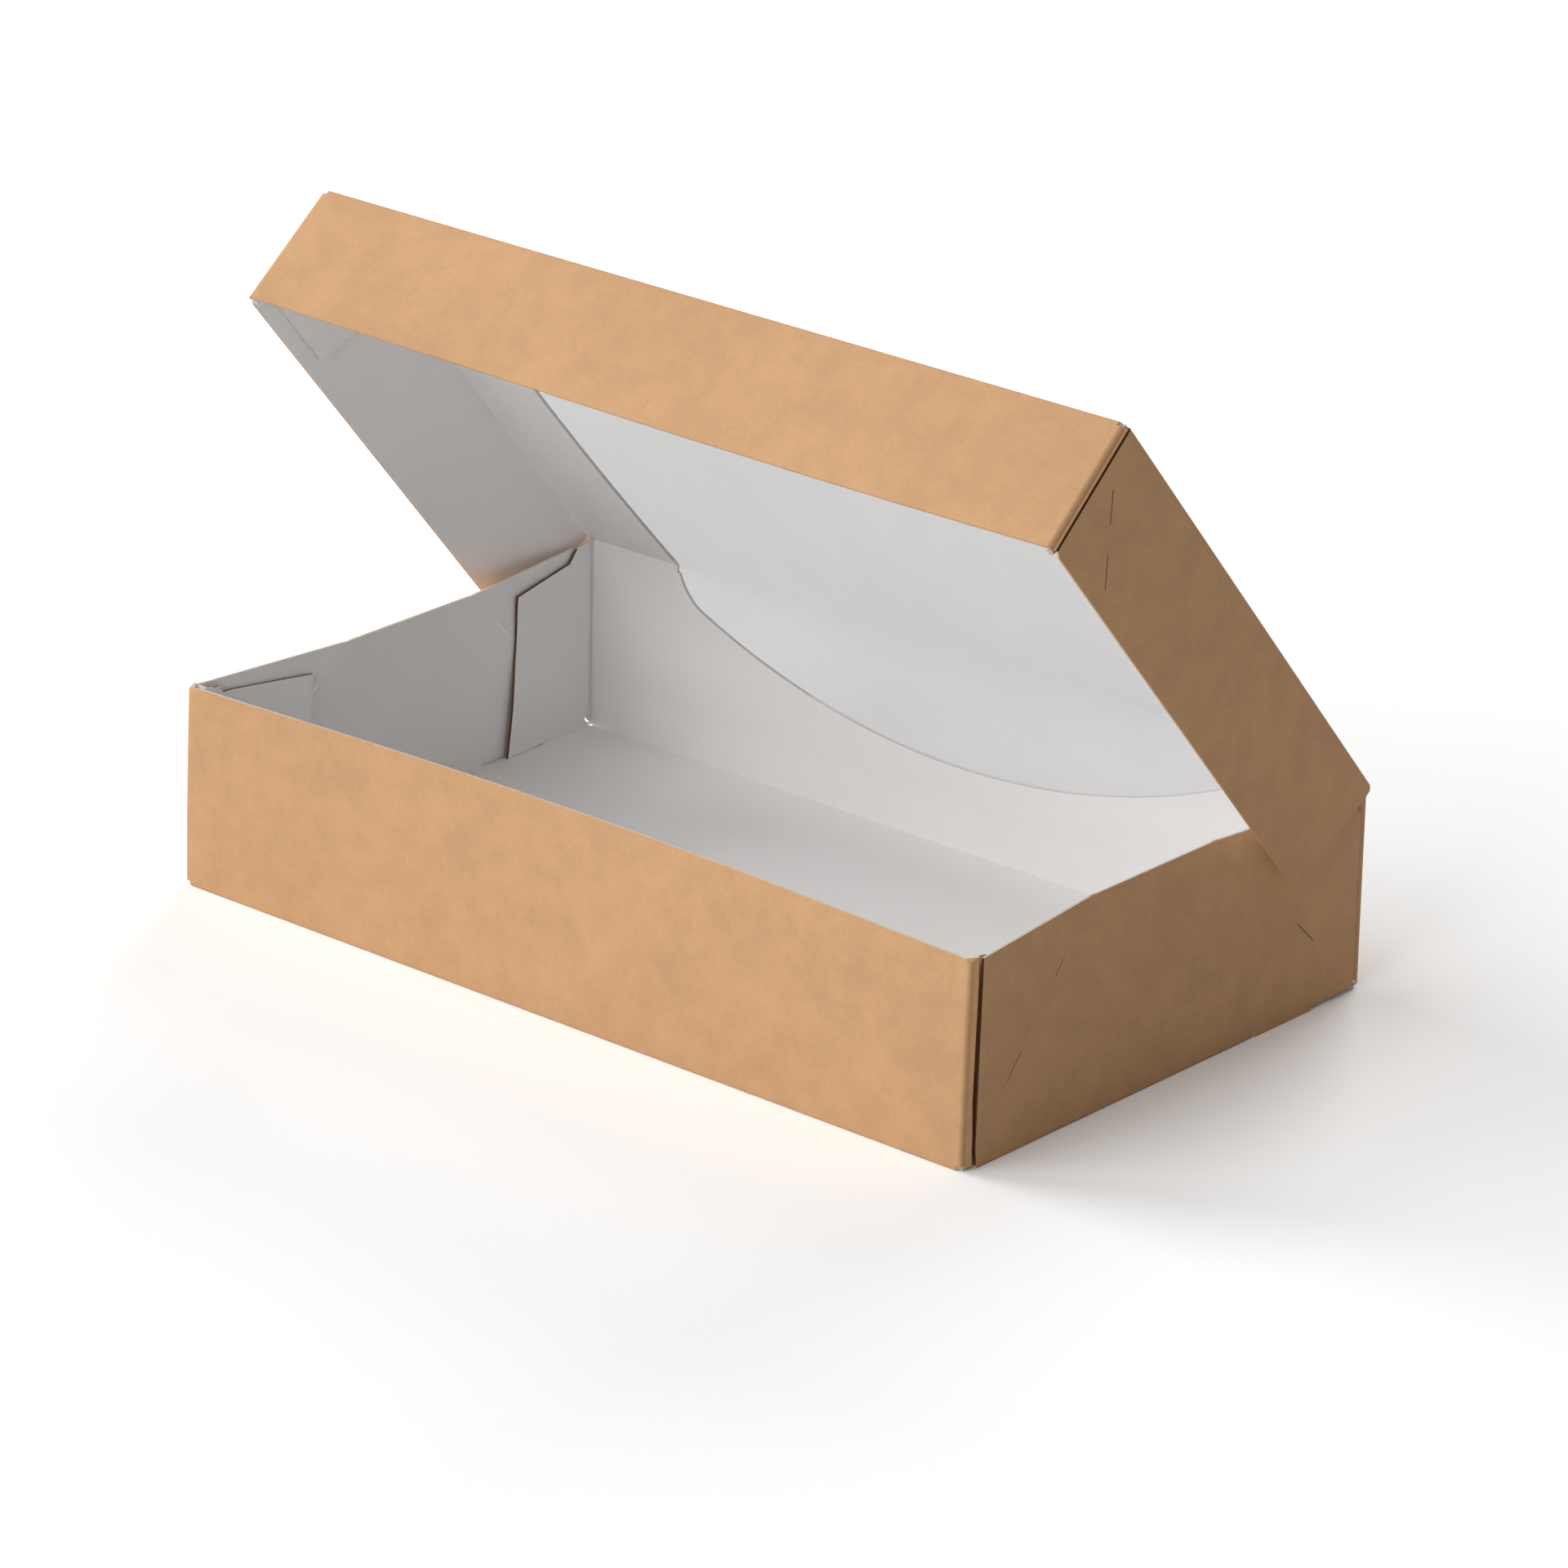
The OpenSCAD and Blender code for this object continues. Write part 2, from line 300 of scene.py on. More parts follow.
def cut_sheet(outlines, holes, lines, spacing):
    """Triangles that fill the outlines less the holes, with edges along the lines.

    The third result says, for each triangle, which outline holds it, or the last one of several.
    """
    loops = [anticlockwise(loop) for loop in [resampled(loop, spacing) for loop in outlines] + holes]
    threads = [resampled(line, spacing, closed=False) for line in lines]
    points, faces, edges, pieces = [], [], [], []
    for loop in loops:
        first = len(points)
        points += loop
        faces.append(list(range(first, len(points))))
        pieces += list(zip(loop, loop[1:] + loop[:1]))
    for thread in threads:
        first = len(points)
        points += thread
        edges += [(i, i + 1) for i in range(first, len(points) - 1)]
        pieces += list(zip(thread, thread[1:]))
    corners = np.array(points)
    low, high = corners.min(0), corners.max(0)
    points += [tuple(p) for p in spread_points(low + spacing / 2, high, spacing, pieces)]
    result = delaunay_2d_cdt([Vector(p) for p in points], edges, faces, 0, 1e-4, True)
    places, triangles, origins = result[0], result[2], result[5]
    kept = [(f, max(o)) for f, o in zip(triangles, origins) if o and max(o) < len(outlines)]
    used = sorted({i for f, _ in kept for i in f})
    number = {old: new for new, old in enumerate(used)}
    triangles = [[number[i] for i in f] for f, _ in kept]
    return [tuple(places[i]) for i in used], triangles, [o for _, o in kept]


def folded(name, sheet, place, t_origin=0):
    """A mesh object of the sheet, each flat point put where it lies once folded. Faces look outwards."""
    flat, faces, _ = sheet
    mesh = bpy.data.meshes.new(name)
    mesh.from_pydata([Vector(place(s, t)) * MM for s, t in flat], [], [f[::-1] for f in faces])
    blank = mesh.attributes.new("blank", "FLOAT_VECTOR", "POINT")
    blank.data.foreach_set("vector", [c for s, t in flat for c in (s, t + t_origin, 0)])
    obj = bpy.data.objects.new(name, mesh)
    bpy.context.scene.collection.objects.link(obj)
    return obj


def thickened(obj, thickness, materials, inside, edges, crease_angle=35):
    """Gives a sheet its thickness inwards, and the inside and the cut edges their own materials."""
    for m in materials:
        obj.data.materials.append(m)
    solid = obj.modifiers.new("thickness", "SOLIDIFY")
    solid.thickness = thickness * MM
    solid.offset = -1
    solid.use_even_offset = True
    solid.use_quality_normals = True
    solid.material_offset = inside
    solid.material_offset_rim = edges
    graph = bpy.context.evaluated_depsgraph_get()
    thick = bpy.data.meshes.new_from_object(obj.evaluated_get(graph))
    obj.modifiers.clear()
    obj.data = thick
    thick.polygons.foreach_set("use_smooth", [True] * len(thick.polygons))
    thick.set_sharp_from_angle(angle=math.radians(crease_angle))
    return obj


# Materials of the cut edges

edge_reach = 0.5
edge_slack = 0.1


def tray_edge(s, t):
    """The material of the tray's cut edge at a flat place. The window's edge is painted in shade on its left
    side.
    """
    x, y = abs(s), abs(t)
    on_crease = abs(rear_y - y - (x - side_s(0)) * math.cos(lean)) < edge_reach
    # Painted shade on the window's edge to the left, the liner's colour on the rest
    if x < window_half + edge_reach and t > end_t(window_sill) - edge_reach:
        return SHADED_WINDOW_EDGE if s < window_shade_end else LINER
    if y > bottom_fold_y and x > tab_start + shoulder - 1:
        return SHADED_EDGE
    if x > tab_start and -rear_y < t < front_setback + front_rake - rear_y:
        return SHADED_EDGE
    if x > tab_start and y < bottom_fold_y and on_crease:
        return KRAFT if s > 0 else LINER
    return CUT_EDGE


def lid_edge(s, t):
    """The material of the lid's cut edge at a flat place, with t from the hinge. The window's edge is
    painted in shade on its left side.
    """
    x = abs(s)
    on_crease = abs(lid_len - t - (x - lid_s(lid_crease_rise))) < edge_reach
    # Painted shade on the window's edge to the left, the liner's colour on the rest
    if x < window_half + edge_reach and t < window_end + edge_reach:
        return SHADED_WINDOW_EDGE if s < window_shade_end else LINER
    if x > lid_s(lip_h) - edge_slack or t > lid_t(lip_h) - edge_slack:
        return KRAFT
    if x > lid_fold_x and (on_crease or lid_len - lip_setback - edge_slack < t < lid_len):
        return SHADED_EDGE
    return CUT_EDGE


def edge_materials(board, edge_at, t_origin=0):
    """Gives each cut edge its material by its place on the flat sheet."""
    blank = board.data.attributes["blank"].data
    for face in board.data.polygons:
        if face.material_index == CUT_EDGE:
            flat = sum((Vector(blank[v].vector) for v in face.vertices), Vector()) / len(face.vertices)
            face.material_index = edge_at(flat.x, flat.y - t_origin)


# Folds


def smooth(share):
    """A share held between 0 and 1 that starts and ends gently."""
    share = min(max(share, 0), 1)
    return share * share * (3 - 2 * share)


def fold_stretches(angle, radius):
    """A fold's flat length before its tight turn, and the length of the whole fold."""
    before = (radius - tight_r) * math.tan(angle / 2)
    return before, 2 * before + tight_r * angle


def bend(past, angle, radius=fold_or):
    """Run and rise of the outer face at a distance past the start of a fold."""
    if past <= 0:
        return past, 0
    before, length = fold_stretches(angle, radius)
    share = min(past / (radius * angle), 1)
    beyond = past - share * radius * angle
    way = share * length - before
    if way <= 0:
        return share * length, 0
    turned = min(way / tight_r, angle)
    rest = way - turned * tight_r + beyond
    run = before + tight_r * math.sin(turned) + rest * math.cos(turned)
    return run, tight_r * (1 - math.cos(turned)) + rest * math.sin(turned)


def fold_lines(at, angle, start, end, along_t, steps=6):
    """Lines across a fold, so that its curve has steps to bend at."""
    before, length = fold_stretches(angle, fold_or)
    ways = [0] + [before + tight_r * angle * i / steps for i in range(steps + 1)] + [length]
    places = [at + math.copysign(fold_or * angle * way / length, at) for way in ways]
    return [[(p, start), (p, end)] if along_t else [(start, p), (end, p)] for p in places]


def dip_lines(at, start, end, last):
    """Lines along a glue tab, close together where it slips behind a wall's cut edge."""
    return [[(at + p, start), (at + p, end)] for p in dip_places if p < last]


def dipped(turned, beyond, swell, dive_at, dive_w, depth, slant=0):
    """How far a tab stands out over its fold, or in where it slips behind the wall's cut edge."""
    if beyond <= dive_at:
        return swell * smooth(turned) - slant * min(1, 1 - beyond / dive_at)
    if beyond <= dive_at + dive_w:
        return swell - (swell + depth) * smooth((beyond - dive_at) / dive_w)
    return -depth * (1 - smooth((beyond - dive_at - dive_w) / dip_recovery))


def pulled(s, corner):
    """A front wall's end drawn in at its corner, so that the strip beyond it stands askew."""
    return s - math.copysign(corner_slant * smooth((abs(s) - corner + slant_reach) / slant_reach), s)


# Board of the tray

end_arc = fold_or * SQUARE
side_arc = fold_or * (SQUARE + lean)
side_tangent = fold_or * (1 + math.sin(lean))
tab_start = corner_x + side_arc


def end_t(z):
    """How far from the middle of the bottom a height on the front or back wall lies when flat."""
    return bottom_fold_y + end_arc + z - fold_or


def side_s(z):
    """How far from the middle of the bottom a height on a side wall lies when flat."""
    return bottom_fold_x + side_arc + (z - side_tangent) / math.cos(lean)


hinge_t = end_t(hinge_h)


def soft_min(values, radius):
    """The least value, rounded off over the radius where two values meet."""
    least = min(values)
    return least - radius * math.log(sum(math.exp((least - v) / radius) for v in values))


def side_face(y, z, radius=corner_soft):
    """Where a side wall's outer face lies: it leans in from the bottom and from both corners."""
    return side_x - math.tan(lean) * soft_min((z, rear_y + y, rear_y - y), radius)


def inward(x, z, half, top, bow, end_lean=0):
    """How far a bowed wall stands in from its fold, and how far its ends lean in."""
    if z <= fold_or:
        return 0
    share = max(0, 1 - (x / half) ** 2) ** bow_ends
    rise = ((z - fold_or) / (top - fold_or)) ** bow_fold
    return (bow * share + end_lean * (1 - share)) * rise


def front_stand(share, z):
    """How far a front tab stands off the side wall, from its fold to its free end."""
    return share**2 * (end_stand + front_foot_stand * (1 - z / rim_h))


def rear_stand(share, z):
    """How far a rear tab stands off the side wall: most at its free end's foot, and along its top."""
    foot = rear_foot_stand * smooth((rear_foot_high - z) / rear_foot_fade)
    top = rear_top_stand * smooth((z - tab_high + rear_top_fade) / rear_top_fade)
    return share**2 * (end_stand + foot) + top * smooth(4 * share)


def tab_place(s, t):
    """A tray tab turns the corner, slips behind the side wall and then follows its inner face."""
    z = fold_or + abs(t) - bottom_fold_y - end_arc
    run, rise = bend(s - corner_x, SQUARE + lean)
    x, y = corner_x + run, rear_y - rise
    beyond = s - tab_start
    turned = (s - corner_x) / side_arc
    if t > 0:
        x += dipped(turned, beyond, **rear_dip)
        share, stand = beyond / rear_tab, rear_stand
    else:
        y -= inward(corner_x, z, corner_x, front_h, front_bow, corner_lean)
        swell = front_swell + max(0, beyond) * math.tan(lean)
        dive_at = front_dive_at - front_dive_shift * z / rim_h
        depth = front_depth * smooth((z - front_depth_low) / front_depth_fade)
        x += dipped(turned, beyond, swell, dive_at, front_dive_w, depth, corner_slant)
        share, stand = beyond / front_tab, front_stand
    if beyond > 0:
        wall = side_face(y, z, tab_soft) - board_t
        natural = corner_x + run
        x += (wall - natural) * min(1, beyond / tab_settle) - stand(min(share, 1.2), z)
    return x, math.copysign(y, t), z


def tray_place(s, t):
    """Where a flat point of the tray's board lies on the folded tray's outer face."""
    x, y = abs(s), abs(t)
    if y > bottom_fold_y and not (x > corner_x + same_line and y < bottom_fold_y + same_line):
        run, z = bend(y - bottom_fold_y, SQUARE)
        if x > corner_x:
            x, y, z = tab_place(x, t)
            return math.copysign(x, s), y, z
        y = bottom_fold_y + run
        if t < 0:
            y -= inward(x, z, corner_x, front_h, front_bow, corner_lean)
            s = pulled(s, corner_x)
        return s, math.copysign(y, t), z
    if x <= bottom_fold_x or (t > free_y + cut_w / 2 and x < free_x + cut_w / 2):
        return s, t, 0
    run, z = bend(x - bottom_fold_x, SQUARE + lean)
    if t > free_y + cut_w / 2 or x > bottom_fold_x + side_arc:
        z = side_tangent + (x - bottom_fold_x - side_arc) * math.cos(lean)
        return math.copysign(side_face(t, z), s), t, z
    return math.copysign(bottom_fold_x + run, s), t, z


def crease_slits(to_s, edge, rise, top, start, pitch):
    """The cuts along a crease that climbs at 45 degrees from an edge at t, a rise above the fold."""
    slits = []
    while start <= (top - rise) * math.sqrt(2) - cut_len - crease_end:
        ends = [q / math.sqrt(2) for q in (start, start + cut_len)]
        slits.append(slit(*[(to_s(rise + q), edge - math.copysign(q, edge)) for q in ends], cut_w))
        start += pitch
    return slits


def crease_lines(to_s, corner, low, high):
    """The crease itself and a line at either side of it, where the board starts to turn."""
    lines = []
    for off in (-crease_turn, 0, crease_turn):
        lines.append([(to_s(z), corner - math.copysign(z + off, corner)) for z in (low, high)])
    return lines


def tab_points(corners, end):
    """Flat places on a tray tab, from distances past the corner fold and heights."""
    return [(tab_start + past, end * end_t(z)) for past, z in corners]


def rear_tab_outline():
    """The right rear tab, whose foot has a shallow step."""
    step = tab_low + tab_step
    corners = [(0, tab_low), (0, step), (rear_tab - tab_foot, step), (rear_tab - tab_foot, tab_low),
               (rear_tab, tab_low), (rear_tab, tab_high - tab_fall),
               (shoulder + rim_h - tab_high, tab_high)]
    free = tab_points(corners + rear_tab_steps, 1)
    return [(corner_x, end_t(tab_low))] + free + [(corner_x, end_t(rear_tab_top))]


def front_tab_outline():
    """The right front tab, whose top falls from the front wall's rim in steps."""
    corners = [(front_tab, tab_high - tab_fall), (front_tab, tab_low), (0, tab_low), (0, fold_or)]
    free = tab_points(front_tab_steps + corners, -1)
    return [(corner_x, -end_t(front_h))] + free + [(corner_x, -end_t(fold_or))]


def side_outline():
    """The right side wall, with bevelled ends and a rear foot that is lifted free."""
    turn = bottom_fold_x + side_arc
    front, rear = front_setback - rear_y, rear_y - rear_setback
    return [(bottom_fold_x, front), (turn, front), (side_s(rim_h), front + front_rake),
            (side_s(rim_h), rear - rear_bevel), (side_s(rim_h - rear_bevel), rear),
            (side_s(lift_h), rear), (side_s(lift_h), lift_y), (side_s(0), lift_y),
            (side_s(0), free_y + cut_w), (turn, free_y + cut_w), (turn, free_y), (bottom_fold_x, free_y)]


def tray_outlines():
    """Flat outlines of the bottom, the end walls, and the tabs and side walls of both sides."""
    bottom = both_sides([(bottom_fold_x, -bottom_fold_y), (bottom_fold_x, free_y + cut_w),
                         (free_x, free_y + cut_w), (free_x, bottom_fold_y)])
    front = band(corner_x, -end_t(front_h), -bottom_fold_y)
    back = band(corner_x, bottom_fold_y, end_t(hinge_h - hinge_strip))
    return [bottom, front, back] + mirrored([rear_tab_outline(), front_tab_outline(), side_outline()])


def arch_edge():
    """The right half of the window's outline on the back wall, up from its sill."""
    swing_r = window_arch_r - window_corner_r
    swing_x = arch_half - window_corner_r
    rise = math.sqrt(swing_r**2 - swing_x**2)
    centre_t = end_t(window_sill + window_arch_r)
    swing = math.asin(swing_x / swing_r)
    half = arc((0, centre_t), window_arch_r, 0.01 - SQUARE, swing - SQUARE, 40)
    return half + arc((swing_x, centre_t - rise), window_corner_r, swing - SQUARE, 0, 10)


def tray_sheet():
    """The tray's board, cut flat."""
    turn = bottom_fold_x + side_arc
    lines, slits = [], []
    for end in (-1, 1):
        low, high = end * end_t(fold_or), end * end_t(rim_h)
        lines += fold_lines(end * bottom_fold_y, SQUARE, -corner_x, corner_x, False)
        slits += mirrored(crease_slits(side_s, end * rear_y, 0, rim_h, tray_cut_start, tray_cut_pitch))
        lines += mirrored(crease_lines(side_s, end * rear_y, tray_crease_low, rim_h))
        heights = (tab_low + tab_step, tab_high - tab_fall, front_tab_top)
        foot, fall, top = [end * end_t(z) for z in heights]
        lines += mirrored(dip_lines(tab_start, foot, fall, dip_reach))
        lines += mirrored(dip_lines(tab_start, fall, top, dip_top_reach))
        for side in (-1, 1):
            lines += fold_lines(side * corner_x, SQUARE + lean, low, high, True)
    for side in (-1, 1):
        lines += fold_lines(side * bottom_fold_x, SQUARE + lean, front_setback - rear_y, free_y, True)
        lines.append([(side * turn, free_y), (side * turn, lift_y)])
    slits += mirrored([slit(*tab_points(rear_slit, 1), rear_slit_w)])
    hole = both_sides(arch_edge() + [(arch_half, hinge_t + past_edge)])
    return cut_sheet(tray_outlines(), [hole] + slits, lines, mesh_step)


# Board beside the window, over the hinge

hinge_tangent = (hinge_r - board_t / 2) * math.tan(hinge_turn / 2)
hinge_arc = hinge_r * hinge_turn
bend_t = hinge_t - hinge_tangent


def hinge_place(s, t):
    """Where the board between the back wall and the lid lies: straight, round the hinge, straight again."""
    run, rise = bend(t - bend_t, hinge_turn, hinge_r)
    return s, rear_y - rise, hinge_h - hinge_tangent + run


def hinge_sheet(side):
    """The board that turns over the hinge at one side of the window, cut flat."""
    low, high = hinge_t - hinge_strip, bend_t + hinge_arc + hinge_strip - hinge_tangent
    end, notch = lid_fold_x + hinge_strip_over, hinge_t - hinge_notch
    half = [(arch_half, low), (corner_x, low), (corner_x, notch), (end, notch), (end, high),
            (arch_half, high)]
    turns = [bend_t + hinge_arc * i / 6 for i in range(7)]
    lines = [[(side * arch_half, t), (side * corner_x, t)] for t in turns]
    return cut_sheet([[(side * s, t) for s, t in half]], [], lines, mesh_step)


# Board of the lid


def lid_s(z):
    """Flat distance from the middle of the lid to a height on a side lip."""
    return lid_fold_x + end_arc + z - fold_or


def lid_t(z):
    """Flat distance from the hinge to a height on the front lip."""
    return lid_fold_y + end_arc + z - fold_or


def opened(x, y, z):
    """A point drawn on the flat lid, outer face down and hinge at y = 0, put where the open lid has it."""
    turn = math.pi - lid_angle
    up = z - board_t / 2
    return (x, hinge_y + y * math.cos(turn) - up * math.sin(turn),
            hinge_h + y * math.sin(turn) + up * math.cos(turn))


def narrowed(x, y, z):
    """Where a point across the lid stands: the lid is a little narrower towards its front."""
    at_hinge, at_front = narrow_right if x > 0 else narrow_left
    along = max(0, y) / lid_len
    narrow = at_hinge + (at_front - at_hinge - lip_splay * z / lip_h) * along
    beside_window = max(0, abs(x) - window_half) / (lid_half - window_half)
    return x - math.copysign(narrow * beside_window, x)


def shaped(x, y, z):
    """A point of the flat lid on the open one, whose lips are deeper towards its right front corner."""
    deeper = 1 + lip_deeper * max(0, y) / lid_len * smooth((x - deeper_start) / deeper_over)
    return opened(narrowed(x, y, z), y, z * deeper)


def lid_tab_place(x, z):
    """A lid tab turns the corner of the front lip and slips behind the side lip."""
    run, back = bend(x - lid_corner_x, SQUARE)
    beyond = x - lid_corner_x - end_arc
    share = min(max(beyond / lid_tab, 0), 1)
    out = dipped((x - lid_corner_x) / end_arc, beyond, **lid_dip)
    stand = lid_end_stand * share**2 * smooth(z / lip_h)
    return lid_corner_x + run + out - stand, lid_len - back


def lid_place(s, t):
    """Where a flat point of the lid's board lies on the open lid's outer face."""
    x = abs(s)
    if t > lid_fold_y:
        run, z = bend(t - lid_fold_y, SQUARE)
        y = lid_fold_y + run
        if x > lid_corner_x:
            x, y = lid_tab_place(x, z)
            return shaped(math.copysign(x, s), y, z)
        return shaped(pulled(s, lid_corner_x), y - inward(x, z, lid_corner_x, lip_h, lip_bow), z)
    if x > lid_fold_x:
        run, z = bend(x - lid_fold_x, SQUARE)
        return shaped(math.copysign(lid_fold_x + run, s), t, z)
    return shaped(s, t, 0)


def lid_window_edge():
    """The right half of the window's outline on the lid panel, away from the hinge."""
    side_c = (window_half - window_side_r, window_mid)
    reach = window_side_r - window_corner_r
    corner_t = window_end - window_corner_r
    corner_s = side_c[0] + math.sqrt(reach**2 - (corner_t - window_mid) ** 2)
    meet = math.asin((corner_t - window_mid) / reach)
    half = arc(side_c, window_side_r, math.asin(-window_mid / window_side_r), meet, 40)
    return half + arc((corner_s, corner_t), window_corner_r, meet, SQUARE, 10)


def lip_outline():
    """The right side lip, with a slanted rear end and a bevelled front corner."""
    front = lid_len - lip_setback
    return [(lid_fold_x, 0), (lid_s(fold_or), lip_heel), (lid_s(lip_heel_h), lip_heel),
            (lid_s(lip_h), lip_rear + lip_rear_slant), (lid_s(lip_h), front - 2 * lip_bevel),
            (lid_s(lip_h - lip_bevel), front), (lid_s(fold_or), front), (lid_fold_x, front)]


def lid_tab_outline(tab_s):
    """The right tab of the front lip, which starts at tab_s past its corner fold."""
    start = [(lid_corner_x, lid_t(fold_or)), (tab_s, lid_t(fold_or)), (tab_s, lid_t(tab_low)),
             (tab_s + lid_tab, lid_t(tab_low)),
             (tab_s + lid_tab - lid_tab_slant, lid_t(lip_h - lid_tab_drop))]
    steps = [(tab_s + past, lid_t(z)) for past, z in lid_tab_steps]
    return start + steps + [(lid_corner_x, lid_t(lip_h))]


def lid_sheet():
    """The lid's board, cut flat."""
    tab_s = lid_corner_x + end_arc
    edge = lid_t(lip_h - lid_tab_drop)
    panel = band(lid_fold_x, hinge_strip, lid_fold_y)
    lip = band(lid_corner_x, lid_fold_y, lid_t(lip_h))
    lines = fold_lines(lid_fold_y, SQUARE, -lid_corner_x, lid_corner_x, False)
    lines += mirrored(dip_lines(tab_s, lid_t(tab_low), edge, dip_reach))
    lines += mirrored(dip_lines(tab_s, edge, lid_t(lid_tab_top), dip_top_reach))
    for side in (-1, 1):
        lines += fold_lines(side * lid_fold_x, SQUARE, lip_rear, lid_len - lip_setback, True)
        lines += fold_lines(side * lid_corner_x, SQUARE, lid_t(fold_or), lid_t(lip_h), True)
    hole = both_sides([(arch_half, -window_corner_r)] + lid_window_edge())
    slits = mirrored(crease_slits(lid_s, lid_len, lid_crease_rise, lip_h, lid_cut_start, lid_cut_pitch))
    outlines = [panel, lip] + mirrored([lip_outline(), lid_tab_outline(tab_s)])
    return cut_sheet(outlines, [hole] + slits, lines, mesh_step)


# Film

film_corner = (film_inset - board_t / 2) * math.tan(hinge_turn / 2)


def film_place(s, t):
    """Where the film lies: up the back wall's inner face, in a soft bend at the hinge, and along the lid."""
    past = t - hinge_t
    s = narrowed(s, past, 0)
    soft = film_bend_least + film_bend * max(0, 1 - (s / arch_half) ** 2)
    corner = Vector((s, rear_y - film_inset, hinge_h - film_corner))
    up, along = Vector((0, 0, 1)), Vector((0, -math.cos(lid_angle), math.sin(lid_angle)))
    if past < -soft:
        return corner + past * up
    if past > soft:
        return corner + past * along
    share = (past + soft) / (2 * soft)
    return corner + soft * (share**2 * along - (1 - share) ** 2 * up)


def film_sheet():
    """The film, cut flat, with the window's outline marked on it."""
    outline = band(film_half, hinge_t + film_low - hinge_h, hinge_t + film_end)
    window = both_sides(arch_edge() + moved(lid_window_edge(), hinge_t))
    bends = [hinge_t + off for off in range(-film_bend, film_bend + 1)]
    lines = [[(-film_half, t), (film_half, t)] for t in bends]
    return cut_sheet([outline, window], [], lines, mesh_step)


# Materials


def new_material(name):
    """A fresh material with its node tree and its shader."""
    material = bpy.data.materials.new(name)
    material.use_nodes = True
    tree = material.node_tree
    return material, tree, tree.nodes["Principled BSDF"]


def node(tree, kind, inputs=(), **values):
    """A node with its settings and inputs."""
    made = tree.nodes.new("ShaderNode" + kind)
    for key, value in values.items():
        setattr(made, key, value)
    for key, value in dict(inputs).items():
        if isinstance(value, bpy.types.NodeSocket):
            tree.links.new(value, made.inputs[key])
        else:
            made.inputs[key].default_value = value
    return made


def srgb(text):
    """A colour of the form rrggbb, as linear values."""
    values = [int(text[i:i + 2], 16) / 255 for i in (0, 2, 4)]
    return tuple(v / 12.92 if v <= 0.04045 else ((v + 0.055) / 1.055) ** 2.4 for v in values)


def blank_place(tree):
    """The flat sheet's own coordinates, in millimetres."""
    return node(tree, "Attribute", attribute_name="blank").outputs["Vector"]


def blank_noise(tree, scale, detail=4, stretch=(1, 1, 1)):
    """Noise over the flat sheet, with its scale given per millimetre."""
    sized = node(tree, "VectorMath", {0: blank_place(tree), 1: stretch}, operation="MULTIPLY")
    settings = {"Vector": sized.outputs[0], "Scale": scale, "Detail": detail}
    return node(tree, "TexNoise", settings).outputs["Fac"]


def math_node(tree, operation, a, b):
    """The result of a sum on two numbers or sockets."""
    return node(tree, "Math", {0: a, 1: b}, operation=operation).outputs[0]


def mapped(tree, value, low, high, to_low, to_high):
    """A value's range turned into another, without overshoot."""
    ranges = {"Value": value, "From Min": low, "From Max": high, "To Min": to_low, "To Max": to_high}
    return node(tree, "MapRange", ranges, interpolation_type="SMOOTHSTEP").outputs["Result"]


def varied(tree, layers):
    """A brightness near 1. Each layer is a noise's scale, detail, stretch and its share of change."""
    total = 1.0
    for scale, detail, stretch, change in layers:
        part = mapped(tree, blank_noise(tree, scale, detail, stretch), 0.3, 0.7, -change, change)
        total = math_node(tree, "ADD", part, total)
    return total


def scaled(tree, colour, level):
    """A colour made brighter or darker."""
    return node(tree, "VectorMath", {0: colour, "Scale": level}, operation="SCALE").outputs[0]


def mixed(tree, share, a, b):
    """A colour between a and b."""
    mix = tree.nodes.new("ShaderNodeMix")
    mix.data_type = "RGBA"
    tree.links.new(share, mix.inputs[0])
    tree.links.new(a, mix.inputs[6])
    mix.inputs[7].default_value = (*b, 1)
    return mix.outputs[2]


def near_line(tree, a, b, width):
    """1 on the straight line from a to b over the flat sheet, fading to 0 at the width."""
    way = Vector((*b, 0)) - Vector((*a, 0))
    start = {0: blank_place(tree), 1: (*a, 0)}
    from_a = node(tree, "VectorMath", start, operation="SUBTRACT").outputs[0]
    share = node(tree, "VectorMath", {0: from_a, 1: way / way.length_squared}, operation="DOT_PRODUCT")
    held = node(tree, "Clamp", {"Value": share.outputs["Value"]}).outputs[0]
    foot = node(tree, "VectorMath", {0: way, "Scale": held}, operation="SCALE").outputs[0]
    away = node(tree, "VectorMath", {0: from_a, 1: foot}, operation="DISTANCE").outputs["Value"]
    return mapped(tree, away, 0, width, 1, 0)


def folds_with_painted_highlights(tree, colour, lines, light):
    """The colour with broken painted highlights along folds. Each line is a, b, its width and its strength.
    """
    broken = mapped(tree, blank_noise(tree, 0.4, 3), 0.5, 0.56, 0, 1)
    for a, b, width, strength in lines:
        mark = math_node(tree, "MULTIPLY", near_line(tree, a, b, width), strength)
        colour = mixed(tree, math_node(tree, "MULTIPLY", mark, broken), colour, light)
    return colour


def board_material(name, base, layers, roughness, grain, folds=()):
    """Paper board: a base colour with soft unevenness, painted highlights along folds and a fine grain."""
    material, tree, shader = new_material(name)
    colour = scaled(tree, srgb(base), varied(tree, layers))
    if folds:
        colour = folds_with_painted_highlights(tree, colour, folds, srgb("ffffff"))
    tree.links.new(colour, shader.inputs["Base Color"])
    shader.inputs["Roughness"].default_value = roughness
    shader.inputs["Specular IOR Level"].default_value = 0.25
    bump = node(tree, "Bump", {"Height": blank_noise(tree, 2.2, 8), "Strength": grain, "Distance": 0.0001})
    tree.links.new(bump.outputs["Normal"], shader.inputs["Normal"])
    return material


